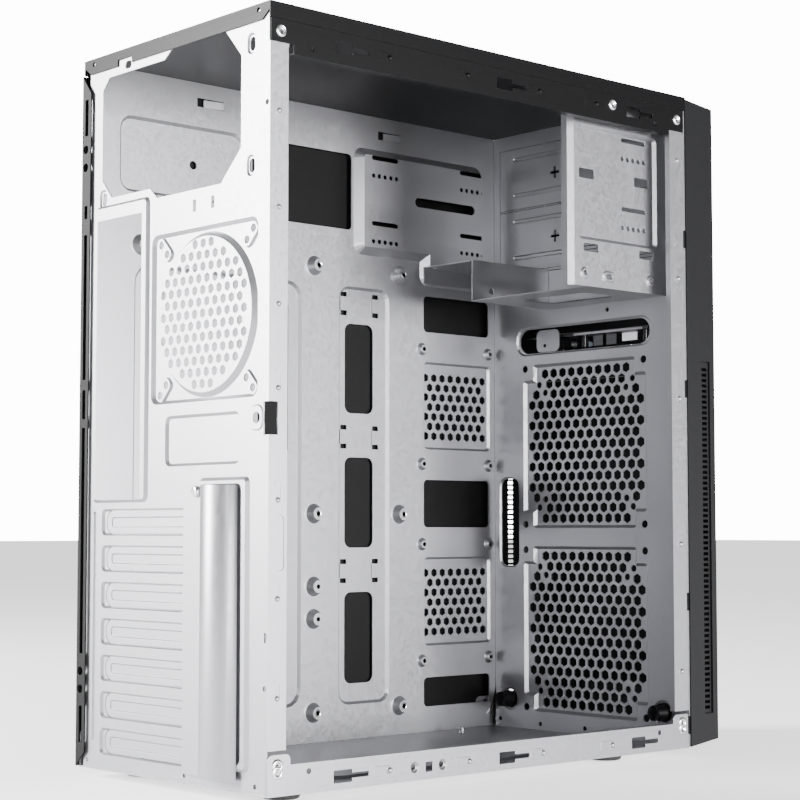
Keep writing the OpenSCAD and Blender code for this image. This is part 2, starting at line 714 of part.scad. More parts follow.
// A knock-out plate with its cross-shaped slot and its ribs
module bay_plate(u0, u1, z0, h, ribs, cross) {
  color(steel) on_rear(chassis_d) difference() {
    union() {
      linear_extrude(sheet_t) translate([u0 + 0.4, z0 + 0.8]) square([u1 - u0 - 0.8, h - 1.6]);
      for (s = [0.3, 0.7]) for (z = [z0 + 0.4, z0 + h - 0.9]) translate([u0 + (u1 - u0) * s, z, 0]) cube([1.6, 0.5, sheet_t]);
      for (z = ribs) bay_rib(u0 + 8, u1 - 12, z0 + z, true);
    }
    for (z = ribs) bay_rib(u0 + 8, u1 - 12, z0 + z, false);
    if (cross) translate([u0 + (u1 - u0) * 0.64, z0 + h / 2, 0]) {
      cube([8, 1.7, 9], center = true);
      cube([1.7, 8, 9], center = true);
    }
  }
}

// ---------- drive cage ----------

module drive_cage_side() {
  h1 = top_h - gap;
  z0 = shelf_z0 - 1;
  color(steel) {
    on_side(cage_u + sheet_t) difference() {
      union() {
        linear_extrude(sheet_t) translate([cage_v + 3, z0]) square([chassis_d - cage_v - 3 - gap, h1 - z0]);
        press_skin([284, bays_z0 + 35.6], 74, 72, 4, -2);
        for (v = [252.5, 313]) cone_skin([v, shelf_z0 + 6.8], 4.4, 1);
        press_skin([274, shelf_z0 + 6.2], 12, 8.6, 3.5, 1);
      }
      press_hollow([284, bays_z0 + 35.6], 74, 72, 4, -2);
      for (v = [252.5, 313]) {
        cone_hollow([v, shelf_z0 + 6.8], 4.4, 1);
        bore([v, shelf_z0 + 6.8], 1.6);
      }
      press_hollow([274, shelf_z0 + 6.2], 12, 8.6, 3.5, 1);
      oblong([274, shelf_z0 + 6.2], 5.4, 3.6);
      for (k = [0, 1]) {
        oblong([300.3, bays_z0 + 23.2 + k * bay_pitch], 22.5, 2.7);
        for (i = [0:4]) bore([290 + i * 5, bays_z0 + 11.4 + k * bay_pitch], 1.5);
      }
      for (v = [250.5, 301]) window(v, bays_z0 + 38.4, v + 13.5, bays_z0 + 44.4, 1);
      for (v = [252, 303]) window(v, bays_z0 - 6.8, v + 13.5, bays_z0 - 1.8, 1);
    }
    // the rear edge turns in, in a bevel and a narrow rim
    at(0, 0, z0) linear_extrude(h1 - z0) polygon([
      [cage_u, -cage_v - 3.2], [cage_u + 3.2, -cage_v], [cage_u + 8, -cage_v], [cage_u + 8, -cage_v - sheet_t],
      [cage_u + 3.4, -cage_v - sheet_t], [cage_u + sheet_t, -cage_v - 3.4]
    ]);
    block([cage_u + sheet_t - e, cage_v + 3.6, h1 - sheet_t], [cage_u + 12, chassis_d - gap, h1]);
  }
}

// The small bay's shelf: a floor, a riser and a step up to the tray
module drive_shelf() {
  v1 = chassis_d - gap;
  u0 = cage_u + sheet_t + gap;
  u1 = cage_u + sheet_t + small_bay_w;
  u2 = tray_u - gap;
  color(steel) difference() {
    union() {
      block([u0, shelf_v, shelf_z0 - sheet_t], [u1, v1, shelf_z0]);
      block([u1 - e, shelf_v, shelf_z0 - sheet_t], [u1 + sheet_t, v1, bays_z0 - sheet_t]);
      block([u1 - e, shelf_v, bays_z0 - 2 * sheet_t], [u2 - 5, v1, bays_z0 - sheet_t]);
      block([u2 - 5 - sheet_t, shelf_v, bays_z0 - 12], [u2 - 5, v1, bays_z0 - sheet_t]);
    }
    at(u1, 275, shelf_z0 + 7) rotate([0, 90, 0]) cylinder(h = 6, r = 2.1, center = true);
    at(u2 - 9.5, 264, bays_z0) cylinder(h = 8, r = 1.6, center = true);
    at((u0 + u1) / 2, 293, shelf_z0) press_hollow([0, 0], 60, 34, 8, -3);
  }
}

// ---------- right side panel ----------

panel_top = rail_top - 0.6;
panel_in = chassis_w - edge + gap;

// A hook reaches through a keyhole's narrow end and grips behind the rail
module hook(v, mid) {
  block([panel_in - sheet_t - 2.1, v, mid - 0.95], [panel_in + e, v + 8, mid + 0.95]);
  block([panel_in - sheet_t - 2.1, v, mid - 2.4], [panel_in - sheet_t - 1.1, v + 8, mid + 2.4]);
}

module right_side_panel() {
  u1 = panel_in + sheet_t;
  z1 = panel_top;
  color(dark_paint) {
    block([panel_in, -1.2 - sheet_t, 0.6], [u1, chassis_d + 0.4, z1]);
    for (v = key_v) {
      hook(v + key_wide + 2.6, 6.7);
      hook(v + key_wide + 2.6, rail_bottom + 9);
    }
    // the rear edge is folded over the rear panel
    on_rear(-1.2) mirror([0, 0, 1]) linear_extrude(sheet_t) difference() {
      polygon([[u1, 0.6], [tray_u - 4, 9], [tray_u - 4, z1 - 11], [u1, z1]]);
      translate([tray_u - 1.2, 0]) {
        for (s = [[361, 382], [312.5, 320], [219.5, 303], [197, 213.5], [64, 192], [14, 34.5]])
          translate([0, s[0]]) square([3, s[1] - s[0]]);
        for (h = [353, 342.5, 54, 44]) translate([2.2, h]) circle(2.4);
      }
    }
  }
}

// ---------- bezel ----------

clip_z = [14, 89.5, 221.5, 315.5];
bezel_y = front_y - sheet_t - gap;
bow_r = (pow(chassis_w / 2, 2) + pow(bezel_bow, 2)) / (2 * bezel_bow);
fascia_u = [16, chassis_w - 16];
fascia_z = [34, 236];
vent_v = [13.5, 21.5];
vent_side_z = [20, 239.5];
power_u = chassis_w - 38;
reset_u = power_u - 17;
reset_size = 6;

// The bezel's outer form, or the same form a wall smaller
module bezel_form(i) {
  d = bezel_d + bezel_bow;
  intersection() {
    translate([left_x + i, bezel_y, base_z]) rotate([90, 0, 90]) linear_extrude(chassis_w - 2 * i)
      polygon([
        [i > 0 ? 1 : 0, 0.6 + i], [-bezel_d, 4 + i], [-d, 5.2 + i],
        [-d, chassis_h - 5.6 - i], [-bezel_d, chassis_h - 4 - i], [i > 0 ? 1 : 0, chassis_h - 1.2 - i]
      ]);
    translate([0, bezel_y - d + bow_r + i, base_z]) cylinder(h = chassis_h, r = bow_r, $fn = 240);
  }
}

// A box through the bezel's face, given across and up
module face_cut(u0, z0, u1, z1, depth = 20) {
  at(0, 0, 0) translate([u0, bezel_y - rear_y - bezel_d - bezel_bow - 1, z0]) cube([u1 - u0, depth, z1 - z0]);
}

cover_u = [(chassis_w - bay_w) / 2, (chassis_w + bay_w) / 2];
cover_z = [bays_z0 + 1, bays_z0 + bay_pitch + 1];
small_cover_u = [(chassis_w - small_bay_w) / 2, (chassis_w + small_bay_w) / 2];
small_cover_z = shelf_z0 + 2;
port_z = ports_z - 1;
port_strip_u = [30, chassis_w - 24];

module bezel_clip(u, z) {
  block([u, chassis_d - 0.8, z - 5.2], [u + 1.8, chassis_d + sheet_t + gap + 3, z + 5.2]);
}

module front_bezel() {
  color(plastic) difference() {
    union() {
      difference() {
        bezel_form(0);
        bezel_form(bezel_wall);
      }
      for (z = clip_z) bezel_clip(edge + 0.2, z);
      // split pegs that snap into the round holes of the front panel
      for (u = peg_u) at(u, chassis_d - 9, peg_z) rotate([90, 0, 0]) difference() {
        union() {
          cylinder(h = face_v(u) - chassis_d + 8, r = peg_r - 1.4);
          translate([0, 0, 4.5]) cylinder(h = 3.2, r1 = peg_r - 1.4, r2 = peg_r - 0.4);
        }
        translate([0, 0, -e]) cylinder(h = 24, r = peg_r - 3.4);
        translate([0, 0, 8]) cube([2.4, 30, 16.1], center = true);
      }
    }
    for (z = cover_z) face_cut(cover_u[0], z, cover_u[1], z + bay_pitch - 2.4);
    face_cut(small_cover_u[0], small_cover_z, small_cover_u[1], small_cover_z + small_bay_h - 2.4);
    face_cut(fascia_u[0], fascia_z[0], fascia_u[1], fascia_z[1]);
    face_cut(port_strip_u[0], port_z - 8.5, port_strip_u[1], port_z + 8.5);
    for (m = [0, 1]) mirror([m, 0, 0])
      block([-1, chassis_d + sheet_t + vent_v[0], vent_side_z[0]], [bezel_wall + 1, chassis_d + sheet_t + vent_v[1], vent_side_z[1]]);
  }
}

// A curved skin that follows the bezel's face, between two depths
module face_skin(u0, z0, u1, z1, from, to) {
  intersection() {
    difference() {
      bezel_form_bow(from);
      bezel_form_bow(to);
    }
    at(0, 0, 0) translate([u0, bezel_y - rear_y - bezel_d - bezel_bow - 1, z0]) cube([u1 - u0, 40, z1 - z0]);
  }
}

module bezel_form_bow(i) {
  translate([0, bezel_y - bezel_d - bezel_bow + bow_r + i, base_z]) cylinder(h = chassis_h, r = bow_r, $fn = 240);
}

// The closed fascia inside the bezel's frame
module front_fascia() {
  color(plastic) {
    face_skin(fascia_u[0] + 0.2, fascia_z[0] + 0.2, fascia_u[1] - 0.2, fascia_z[1] - 0.2, 0.6, 2.4);
    for (z = [fascia_z[0] + 34, (fascia_z[0] + fascia_z[1]) / 2, fascia_z[1] - 34])
      block([fascia_u[0] + 8, face_v(fascia_u[0] + 8) - 6, z], [fascia_u[1] - 8, face_v(fascia_u[0] + 8) - 1, z + 1.6]);
  }
}

// Ribbed strip that fills the slot in the bezel's side
module side_vent(m) {
  n = floor((vent_side_z[1] - vent_side_z[0] - 4) / 3.4);
  color(plastic) mirror([m, 0, 0]) difference() {
    block([1.3, chassis_d + sheet_t + vent_v[0] + 0.2, vent_side_z[0] + 0.2],
      [2.3, chassis_d + sheet_t + vent_v[1] - 0.2, vent_side_z[1] - 0.2]);
    for (k = [0:n - 1]) block([0, chassis_d + sheet_t + vent_v[0] + 1.4, vent_side_z[0] + 2.7 + k * 3.4],
      [4, chassis_d + sheet_t + vent_v[1] - 1.4, vent_side_z[0] + 4.7 + k * 3.4]);
  }
}

module bay_cover(u, z, h) {
  color(plastic) {
    face_skin(u[0] + 0.4, z + 0.4, u[1] - 0.4, z + h - 0.4, 0.2, bezel_wall + 0.2);
    for (s = [u[0] + 0.4, u[1] - 2]) block([s, chassis_d + 12, z + 4], [s + 1.6, face_v(s) - 1.5, z + h - 4]);
  }
}

module port_strip() {
  color(plastic) difference() {
    face_skin(port_strip_u[0] + 0.2, port_z - 8.3, port_strip_u[1] - 0.2, port_z + 8.3, 0.6, 2.6);
    face_cut(power_u - power_size / 2 - 0.2, port_z - power_size / 2 - 0.2, power_u + power_size / 2 + 0.2, port_z + power_size / 2 + 0.2);
    at(reset_u, 0, port_z) rotate([90, 0, 0]) cylinder(h = 500, r = reset_size / 2 + 0.1);
    for (u = usb_u) face_cut(u - 6.9, port_z - 3.1, u + 6.9, port_z + 3.1);
    for (u = jack_u) at(u, 0, port_z) rotate([90, 0, 0]) cylinder(h = 500, r = 3.3);
    for (u = lamp_u) at(u, 0, port_z) rotate([90, 0, 0]) cylinder(h = 500, r = 1.35);
  }
}

usb_u = [41, 59];
jack_u = [74, 86];
lamp_u = [98, 105];
board_v = chassis_d + 8;

// Where a flat-backed piece behind the bowed face may start, at distance u from the left
function face_v(u) = chassis_d + sheet_t + gap + bezel_d + bezel_bow - (bow_r - sqrt(bow_r * bow_r - pow(u - chassis_w / 2, 2)));

module power_button() {
  v = face_v(power_u);
  s = power_size;
  color(plastic) {
    block([power_u - s / 2, v - 6, port_z - s / 2], [power_u + s / 2, v, port_z + s / 2]);
    at(power_u, v - 6, port_z) rotate([-90, 0, 0]) cylinder(h = 5, r = 2);
  }
}

module reset_button() {
  v = face_v(reset_u);
  color(plastic) at(reset_u, v, port_z) rotate([-90, 0, 0]) {
    cylinder(h = 6, r = reset_size / 2);
    translate([0, 0, 6 - e]) cylinder(h = 5, r = 1.2);
  }
}

// A spring, as the sleeve that its coils fill
module button_spring(u, r) {
  h = 5 + button_travel + 0.3;
  color("silver") at(u, face_v(u) - 6.05, port_z) rotate([-90, 0, 0]) difference() {
    cylinder(h = h - 0.1, r = r + 0.9);
    translate([0, 0, -1]) cylinder(h = h + 2, r = r + 0.3);
  }
}

module lamp(u) {
  color("lightblue") at(u, face_v(u) - 0.9, port_z) rotate([-90, 0, 0]) {
    cylinder(h = 9, r = 1.25);
    translate([0, 0, 7]) cylinder(h = 2, r = 1.9);
    translate([-0.6, 0, 7.4]) cube([1.2, 3, 1.4]);
  }
}

module port_board() {
  color([0.1, 0.25, 0.15]) {
    block([38, board_v, port_z + 3], [chassis_w - 28, board_v + 14, port_z + 4.6]);
    // the switches that the two buttons press
    for (u = [power_u, reset_u])
      block([u - 3, board_v + 4, port_z - 3], [u + 3, face_v(u) - 11.3 - button_travel, port_z + 3 + e]);
  }
}

module usb_port(u) {
  color("silver") difference() {
    block([u - 6.6, board_v + 6, port_z - 2.9], [u + 6.6, face_v(u) - 0.9, port_z + 2.9]);
    block([u - 6, board_v + 9, port_z - 2.3], [u + 6, face_v(u) + 2, port_z + 2.3]);
  }
}

module jack(u) {
  color("black") difference() {
    union() {
      block([u - 4.4, board_v + 5, port_z - 4.4], [u + 4.4, face_v(u) - 8, port_z + 2.95]);
      at(u, face_v(u) - 8 - e, port_z) rotate([90, 0, 0]) cylinder(h = 7, r = 3.1);
    }
    at(u, face_v(u) + 1, port_z) rotate([-90, 0, 0]) cylinder(h = 14, r = 1.8);
  }
}

// The steel clip that fixes the board, seen through the opening of the front panel
module board_bracket() {
  color(steel) difference() {
    union() {
      on_rear(board_v - 3) linear_extrude(sheet_t) polygon([for (p = rounded(21, 15, 4, 4)) p + [124, port_z + 1]]);
      block([117, board_v - 3, port_z + 4.7], [131, board_v + 6, port_z + 4.7 + sheet_t]);
    }
    on_rear(board_v - 3) bore([127, port_z - 2], 1.3, 6);
  }
}

// ---------- feet and fasteners ----------

foot_inset = 25;
function foot_places() = [
  for (v = [28, chassis_d - 51]) for (u = [foot_inset, chassis_w - foot_inset]) [u, v]
];

module foot(i) {
  p = foot_places()[i];
  color("black") at(p[0], p[1], 0) mirror([0, 0, 1]) difference() {
    union() {
      cylinder(h = foot_h - 1, r1 = foot_r, r2 = foot_r - 0.8);
      translate([0, 0, foot_h - 1 - e]) cylinder(h = 1 + e, r1 = foot_r - 0.8, r2 = foot_r - 1.8);
    }
    translate([0, 0, -e]) cylinder(h = foot_h + 1, r = 2);
    translate([0, 0, 2]) cylinder(h = foot_h, r = 4.4);
  }
}

module foot_screws() {
  color("silver") for (p = foot_places()) at(p[0], p[1], -2) {
    translate([0, 0, -e]) cylinder(h = 7 + e, r = 1.9);
    translate([0, 0, -1.6]) difference() {
      cylinder(h = 1.6, r1 = 3, r2 = 3.9);
      translate([0, 0, 0]) cube([4.5, 0.8, 1.4], center = true);
      translate([0, 0, 0]) cube([0.8, 4.5, 1.4], center = true);
    }
  }
}

// Hollow blind rivets at the corners of the side frames
module rivet(shank = 2.6) {
  translate([0, 0, sheet_t]) difference() {
    union() {
      cylinder(h = 0.9, r1 = 3.4, r2 = 2.4);
      translate([0, 0, -shank]) cylinder(h = shank + e, r = rivet_r - 0.05);
    }
    translate([0, 0, -3]) cylinder(h = 5, r = 1);
  }
}

module frame_rivets() {
  all = concat([for (p = rivet_top) [p[0], p[1] + chassis_h - 405.5]], rivet_bottom);
  color("silver") {
    on_side(edge + sheet_t) for (p = all) translate([p[0], p[1], 0]) rivet();
    // on the covered side the heads are inside, so that the side panel lies flat
    mirror([1, 0, 0]) on_side(edge + sheet_t)
      for (p = all) translate([p[0], p[1], sheet_t]) mirror([0, 0, 1]) rivet(sheet_t);
  }
}

rear_panel();
slot_blank(0);  // slot_blank_1
slot_blank(1);  // slot_blank_2
slot_blank(2);  // slot_blank_3
slot_blank(3);  // slot_blank_4
slot_blank(4);  // slot_blank_5
slot_blank(5);  // slot_blank_6
slot_blank(6);  // slot_blank_7
slot_shield();
shield_screw();
motherboard_tray();
top_cover();
bottom_panel();
front_panel();
bay_plate(bay_plate_u0, bay_plate_u1, bays_z0 + bay_pitch, bay_pitch, [10.3, 35.2], true);  // large_bay_plate_upper
bay_plate(bay_plate_u0, bay_plate_u1, bays_z0, bay_pitch, [10.3, 35.2], true);  // large_bay_plate_lower
bay_plate(bay_plate_u0, small_plate_u1, shelf_z0 + 0.8, small_bay_h - 1.6, [small_bay_h - 5], false);  // small_bay_plate
drive_cage_side();
drive_shelf();
right_side_panel();
front_bezel();
front_fascia();
side_vent(0);  // side_vent_left
side_vent(1);  // side_vent_right
bay_cover(cover_u, cover_z[1], bay_pitch - 2.4);  // large_bay_cover_upper
bay_cover(cover_u, cover_z[0], bay_pitch - 2.4);  // large_bay_cover_lower
bay_cover(small_cover_u, small_cover_z, small_bay_h - 2.4);  // small_bay_cover
port_strip();
power_button();
reset_button();
button_spring(power_u, 2);  // power_spring
button_spring(reset_u, 1.2);  // reset_spring
lamp(lamp_u[0]);  // power_lamp
lamp(lamp_u[1]);  // drive_lamp
port_board();
usb_port(usb_u[0]);  // usb_port_1
usb_port(usb_u[1]);  // usb_port_2
jack(jack_u[0]);  // headphone_jack
jack(jack_u[1]);  // microphone_jack
board_bracket();
foot(0);  // foot_rear_left
foot(1);  // foot_rear_right
foot(2);  // foot_front_left
foot(3);  // foot_front_right
foot_screws();
frame_rivets();
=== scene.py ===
# %% [markdown]
# # Desktop computer tower
#
# An empty steel case seen from behind and from its open side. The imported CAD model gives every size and
# place. This script gives it looks: a studio, a camera, steel, paint and plastic, and the fine pieces that
# CAD leaves plain.

import json
import math

import bpy
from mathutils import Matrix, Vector


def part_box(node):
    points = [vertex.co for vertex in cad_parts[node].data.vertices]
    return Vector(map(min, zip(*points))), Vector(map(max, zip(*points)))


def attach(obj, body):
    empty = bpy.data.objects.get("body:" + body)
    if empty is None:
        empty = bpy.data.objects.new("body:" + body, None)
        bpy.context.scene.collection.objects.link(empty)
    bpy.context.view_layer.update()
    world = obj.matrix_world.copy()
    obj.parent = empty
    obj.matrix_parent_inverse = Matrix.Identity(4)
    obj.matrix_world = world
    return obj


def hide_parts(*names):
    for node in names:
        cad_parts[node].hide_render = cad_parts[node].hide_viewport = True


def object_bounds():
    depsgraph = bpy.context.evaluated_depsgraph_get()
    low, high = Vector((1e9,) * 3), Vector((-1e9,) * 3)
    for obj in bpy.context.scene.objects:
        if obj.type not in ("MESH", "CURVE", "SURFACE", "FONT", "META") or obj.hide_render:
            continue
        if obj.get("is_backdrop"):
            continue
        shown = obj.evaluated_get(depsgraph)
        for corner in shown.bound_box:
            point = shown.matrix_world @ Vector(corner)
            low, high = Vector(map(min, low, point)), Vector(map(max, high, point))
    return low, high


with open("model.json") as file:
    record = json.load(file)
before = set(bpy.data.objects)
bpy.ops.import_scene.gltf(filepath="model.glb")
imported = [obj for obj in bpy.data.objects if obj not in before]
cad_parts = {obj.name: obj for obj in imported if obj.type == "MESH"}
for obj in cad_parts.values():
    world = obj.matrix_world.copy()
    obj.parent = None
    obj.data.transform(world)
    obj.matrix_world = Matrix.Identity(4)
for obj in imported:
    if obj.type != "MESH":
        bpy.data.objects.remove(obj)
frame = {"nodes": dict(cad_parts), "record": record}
record = frame["record"]
start_size = [list(v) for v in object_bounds()]
slot_of = {p["node"]: p["material_slot"] for p in record["subparts"]}
MM = 0.001
print("loaded", len(frame["nodes"]), "nodes; size", [round(b - a, 4) for a, b in zip(*start_size)])

# %% [markdown]
# ## Studio
#
# A pale floor, which also glows, meets a white world. The world is bright where the camera sees it and dim
# where it lights the case, so that the inside keeps its shadows. A soft lamp behind and to one side rakes
# across the rear panel, a second one shines in through the open side, and a narrow one is there to draw a
# line along the folded edges.

# %% Floor, world and lamps
bpy.ops.object.select_all(action="DESELECT")
bpy.ops.mesh.primitive_plane_add(size=40, location=(0, 0, -0.0005))
floor = bpy.context.object
floor.name = "studio_floor"
floor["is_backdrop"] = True

world = bpy.data.worlds.new("white_studio")
bpy.context.scene.world = world
world.use_nodes = True
lit_strength, seen_strength = 0.12, 14.0
sky = world.node_tree
seen_or_lit = sky.nodes.new("ShaderNodeLightPath")
strength = sky.nodes.new("ShaderNodeMapRange")
strength.inputs["To Min"].default_value = lit_strength
strength.inputs["To Max"].default_value = seen_strength
sky.links.new(seen_or_lit.outputs["Is Camera Ray"], strength.inputs["Value"])
sky.nodes["Background"].inputs["Color"].default_value = (1, 1, 1, 1)
sky.links.new(strength.outputs["Result"], sky.nodes["Background"].inputs["Strength"])


def area_lamp(name, place, aim, size, power):
    """A rectangular soft lamp at place that points to aim."""
    data = bpy.data.lights.new(name, "AREA")
    data.shape = "RECTANGLE"
    data.size, data.size_y = size
    data.energy = power
    lamp = bpy.data.objects.new(name, data)
    bpy.context.collection.objects.link(lamp)
    lamp.location = place
    lamp.rotation_euler = (Vector(aim) - Vector(place)).to_track_quat("-Z", "Y").to_euler()
    lamp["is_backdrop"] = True


area_lamp("rear_softbox", (1.25, 1.6, 0.8), (0, 0.15, 0.2), (0.5, 1.0), 175)
area_lamp("side_softbox", (-2.0, -0.4, 0.15), (0, 0, 0.15), (0.7, 0.6), 130)
area_lamp("edge_softbox", (-1.2, 1.1, 0.2), (-0.09, 0.15, 0.2), (0.12, 0.9), 26)
print("floor, world and 3 lamps")

# %% [markdown]
# ## Camera
#
# It stands behind the case, out to the open side, a little below the middle of its height, and looks
# slightly up.

# %% Camera
eye = Vector((-0.8420, 0.7661, 0.1389))
look = Vector((0.7420, -0.6669, 0.0684))
lens = bpy.data.cameras.new("camera")
lens.lens, lens.sensor_width, lens.clip_start = 85.12, 36, 0.02
camera = bpy.data.objects.new("camera", lens)
bpy.context.collection.objects.link(camera)
camera.location = eye
camera.rotation_euler = look.to_track_quat("-Z", "Y").to_euler()
bpy.context.scene.camera = camera
print("camera at", [round(c, 3) for c in eye])

# %% [markdown]
# ## Materials
#
# Each finish is named for what it is and how it was made. Colours are written as sRGB hex and turned into
# linear values by one function. Bump and roughness patterns are sized in millimetres.


# %% Helpers for materials
def linear(hex_colour):
    """sRGB hex text to a linear RGBA colour."""
    parts = [int(hex_colour[i : i + 2], 16) / 255 for i in (1, 3, 5)]
    return [c / 12.92 if c <= 0.04045 else ((c + 0.055) / 1.055) ** 2.4 for c in parts] + [1.0]


def add(tree, kind, links=(), **settings):
    """Adds a shader node, sets its properties and sockets by name, and links (output, socket name) pairs."""
    node = tree.nodes.new("ShaderNode" + kind)
    for name, value in settings.items():
        socket = node.inputs.get(name.replace("_", " "))
        if socket is not None:
            socket.default_value = value
        else:
            setattr(node, name, value)
    for source, target in links:
        tree.links.new(source, node.inputs[target])
    return node


def new_material(name, colour, roughness, metallic=0.0, ior=1.5):
    """A material with its Principled shader set; returns material, tree and shader."""
    material = bpy.data.materials.new(name)
    material.use_nodes = True
    tree = material.node_tree
    shader = tree.nodes["Principled BSDF"]
    for socket, value in {
        "Base Color": linear(colour),
        "Roughness": roughness,
        "Metallic": metallic,
        "IOR": ior,
    }.items():
        shader.inputs[socket].default_value = value
    return material, tree, shader


def grain(tree, shader, size_mm, height_mm, rough=None):
    """Bump from noise with cells size_mm across; rough is the range that the noise makes of roughness."""
    place = add(tree, "TexCoord")
    noise = add(tree, "TexNoise", [(place.outputs["Object"], "Vector")], Scale=1000 / size_mm, Detail=3.0)
    bump = add(tree, "Bump", [(noise.outputs["Fac"], "Height")], Strength=1.0, Distance=height_mm * MM)
    tree.links.new(bump.outputs["Normal"], shader.inputs["Normal"])
    if rough:
        spread = add(tree, "MapRange", [(noise.outputs["Fac"], "Value")])
        spread.inputs["From Min"].default_value = 0.3
        spread.inputs["From Max"].default_value = 0.7
        spread.inputs["To Min"].default_value = rough[0]
        spread.inputs["To Max"].default_value = rough[1]
        tree.links.new(spread.outputs["Result"], shader.inputs["Roughness"])


# %% The finishes
finishes = {}

steel, tree, shader = new_material("hot_dip_galvanised_steel", "#9A9A9E", 0.34, metallic=0.88)
grain(tree, shader, 2.2, 0.002, rough=(0.34, 0.44))
finishes["galvanised_steel"] = steel

paint, tree, shader = new_material("black_powder_coat_on_steel", "#080809", 0.42)
grain(tree, shader, 0.9, 0.012)
shader.inputs["Specular IOR Level"].default_value = 0.12
finishes["dark_paint"] = paint

plastic, tree, shader = new_material("black_moulded_abs_with_spark_eroded_grain", "#0F0F11", 0.45)
grain(tree, shader, 0.5, 0.02)
shader.inputs["Specular IOR Level"].default_value = 0.2
finishes["moulded_plastic"] = plastic

gloss, _, _ = new_material("polished_black_abs", "#141416", 0.18)
finishes["button_plastic"] = gloss

acrylic, _, shader = new_material("clear_diffusing_acrylic", "#C6D6E6", 0.25)
shader.inputs["Transmission Weight"].default_value = 0.6
finishes["lamp_lens"] = acrylic

board, _, _ = new_material("black_solder_mask_on_fibreglass", "#0D0F10", 0.3)
finishes["circuit_board"] = board

zinc, tree, shader = new_material("zinc_plated_steel", "#D6D6D8", 0.25, metallic=1.0, ior=2.5)
grain(tree, shader, 1.5, 0.004)
finishes["screw_steel"] = zinc

rubber, tree, shader = new_material("moulded_black_rubber", "#121212", 0.75)
grain(tree, shader, 0.6, 0.02)
finishes["foot_rubber"] = rubber

ground, _, shader = new_material("backlit_white_studio_floor", "#F6F6F6", 0.9)
shader.inputs["Emission Color"].default_value = (1, 1, 1, 1)
shader.inputs["Emission Strength"].default_value = 1.4
floor.data.materials.append(ground)
print(len(finishes), "finishes and the floor")

# %% [markdown]
# ## The CAD pieces
#
# Pressed sheet keeps its CAD shape. Its vertices are welded, and a small bevel rounds each cut edge to catch
# light.


# %% Dress the CAD nodes
SHARP = math.radians(35)  # a fold sharper than this is an edge


def dress(name):
    """Gives a CAD node its finish, welded vertices and bevelled edges."""
    obj = frame["nodes"][name]
    obj.data.materials.clear()
    obj.data.materials.append(finishes[slot_of[name]])
    weld = obj.modifiers.new("weld", "WELD")
    weld.merge_threshold = 0.01 * MM
    bevel = obj.modifiers.new("edge", "BEVEL")
    bevel.width = 0.15 * MM
    bevel.segments = 2
    bevel.limit_method = "ANGLE"
    bevel.angle_limit = SHARP
    bevel.use_clamp_overlap = True
    bevel.harden_normals = False


for name in frame["nodes"]:
    dress(name)
print("dressed", len(frame["nodes"]), "nodes")

# %% [markdown]
# ## Tools for the new pieces
#
# Turned pieces start as one corner point that is pushed along a profile and spun. Moulded pieces start as a
# cube whose edges are rounded. Every finished piece lies in the shared frame, with no turn or scale of its
# own.


# %% Helpers for new pieces
def only(obj):
    """Selects one object and makes it active."""
    bpy.ops.object.select_all(action="DESELECT")
    obj.select_set(True)
    bpy.context.view_layer.objects.active = obj


def settle(obj):
    """Writes an object's place, turn and scale into its mesh, mends its normals and shades it smooth."""
    only(obj)
    bpy.ops.object.transform_apply(location=True, rotation=True, scale=True)
    bpy.ops.object.mode_set(mode="EDIT")
    bpy.ops.mesh.select_all(action="SELECT")
    bpy.ops.mesh.remove_doubles(threshold=0.000005)
    bpy.ops.mesh.normals_make_consistent(inside=False)
    bpy.ops.object.mode_set(mode="OBJECT")
    bpy.ops.object.shade_smooth_by_angle(angle=SHARP)
    return obj


def turned(name, profile, place, axis, steps=48):
    """Spins a profile of (radius, along) points in millimetres about an axis through place."""
    bpy.ops.object.select_all(action="DESELECT")
    bpy.ops.mesh.primitive_plane_add(size=0.001)
    obj = bpy.context.object
    obj.name = name
    bpy.ops.object.mode_set(mode="EDIT")
    bpy.ops.mesh.select_all(action="SELECT")
    bpy.ops.mesh.merge(type="CENTER")
    bpy.ops.mesh.select_all(action="SELECT")
    bpy.ops.transform.translate(value=(profile[0][0] * MM, 0, profile[0][1] * MM))
    for (r0, a0), (r1, a1) in zip(profile, profile[1:]):
        step = ((r1 - r0) * MM, 0, (a1 - a0) * MM)
        bpy.ops.mesh.extrude_region_move(TRANSFORM_OT_translate={"value": step})
    bpy.ops.mesh.select_all(action="SELECT")
    bpy.ops.mesh.spin(steps=steps, angle=math.tau, center=(0, 0, 0), axis=(0, 0, 1))
    bpy.ops.object.mode_set(mode="OBJECT")
    obj.rotation_euler = Vector(axis).to_track_quat("Z", "Y").to_euler()
    obj.location = place
    return settle(obj)


def rounded_block(name, low, high, radius_mm, segments):
    """A block between two corners with all its edges rounded."""
    bpy.ops.object.select_all(action="DESELECT")
    low, high = Vector(low), Vector(high)
    bpy.ops.mesh.primitive_cube_add(size=1, location=(low + high) / 2)
    obj = bpy.context.object
    obj.name = name
    obj.scale = high - low
    settle(obj)
    bpy.ops.object.mode_set(mode="EDIT")
    bpy.ops.mesh.select_all(action="SELECT")
    bpy.ops.mesh.bevel(offset=radius_mm * MM, segments=segments, affect="EDGES")
    bpy.ops.object.mode_set(mode="OBJECT")
    return settle(obj)


def fit(obj, slot_name, body, *nodes):
    """Gives a finished piece its material and its body, and hides the CAD nodes that it stands for."""
    obj.data.materials.clear()
    obj.data.materials.append(finishes[slot_name])
    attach(obj, body)
    if nodes:
        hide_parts(*nodes)
    return obj


def joined(name, pieces):
    """Joins several pieces into one."""
    bpy.ops.object.select_all(action="DESELECT")
    for piece in pieces:
        piece.select_set(True)
    bpy.context.view_layer.objects.active = pieces[0]
    bpy.ops.object.join()
    pieces[0].name = name
    return pieces[0]


def middle(node):
    """The middle of a CAD node's box."""
    low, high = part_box(node)
    return (low + high) / 2


